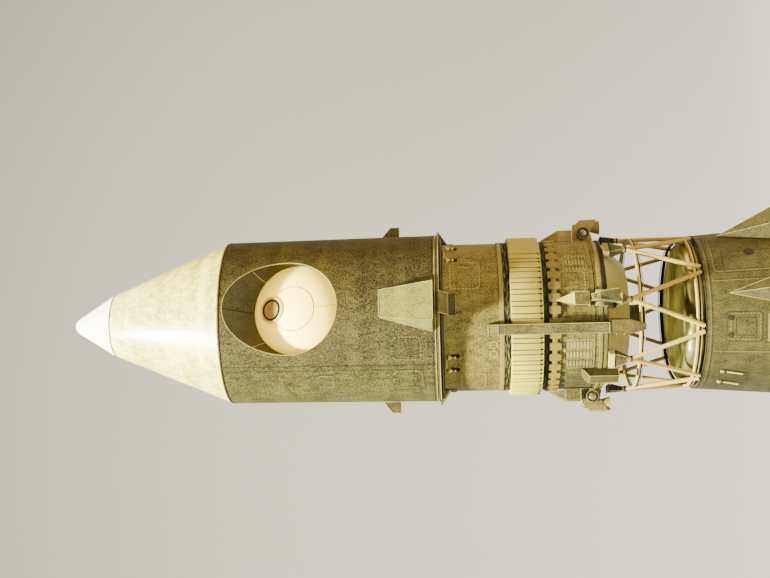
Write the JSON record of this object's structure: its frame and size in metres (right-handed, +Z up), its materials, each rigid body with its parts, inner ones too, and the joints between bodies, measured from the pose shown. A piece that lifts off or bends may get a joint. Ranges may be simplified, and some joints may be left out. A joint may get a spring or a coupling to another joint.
{
  "type": "three-stage space rocket display model",
  "caption": "Tall three-stage rocket card model standing on its engine bells: nose cone, fairing with an open hatch and round capsule, open truss, long core and tapered boosters.",
  "frame": {"origin": "centre of the bounding box at the plane of the engine bell rims, on the rocket's long axis", "axes": "+Z up along the rocket's long axis to the nose tip; -Y is the side of the fairing with the open hatch; X to the sides"},
  "size_m": [0.146, 0.146, 0.7672],
  "materials": {
    "print": "matt printed card, speckled olive grey",
    "pale": "matt printed card, pale speckle",
    "white": "matt white card",
    "cream": "matt cream card",
    "dark": "matt dark printed card",
    "foil": "crumpled silver foil"
  },
  "bodies": {
    "root": {"nose_tip": "white", "nose_cone": "pale", "fairing_shell": "print", "hatch_tunnel": "dark", "capsule_dome": "cream", "capsule_hatch": "cream", "capsule_porthole": "dark", "fairing_box": "pale", "fairing_fin_right": "print", "fairing_fin_left": "print", "fairing_base_ring": "print", "third_stage_tank": "print", "ribbed_band": "cream", "tooth_band": "cream", "raceway_box": "pale", "raceway_tail": "pale", "channel_box": "print", "third_stage_base_cone": "cream", "third_stage_engine": "dark", "stage_truss": "cream", "dish_collar": "foil", "foil_dish": "foil", "core_head": "print", "core_tank": "print", "core_taper": "print", "core_tail": "print", "core_engine": "dark", "booster_head_belt": "pale", "booster_foot_belt": "pale", "core_hatch_box": "pale", "steering_fairing_0": "print", "steering_engine_0": "print", "steering_fairing_90": "print", "steering_engine_90": "print", "steering_fairing_180": "print", "steering_engine_180": "print", "steering_fairing_270": "print", "steering_engine_270": "print", "core_wedge_1": "pale", "core_wedge_2": "pale", "core_wedge_3": "pale", "core_wedge_4": "pale", "booster1_body": "print", "booster1_tail": "print", "booster1_engine": "dark", "booster1_fin": "pale", "booster2_body": "print", "booster2_tail": "print", "booster2_engine": "dark", "booster2_fin": "pale", "booster3_body": "print", "booster3_tail": "print", "booster3_engine": "dark", "booster3_fin": "pale", "booster4_body": "print", "booster4_tail": "print", "booster4_engine": "dark", "booster4_fin": "pale"}
  },
  "joints": []
}
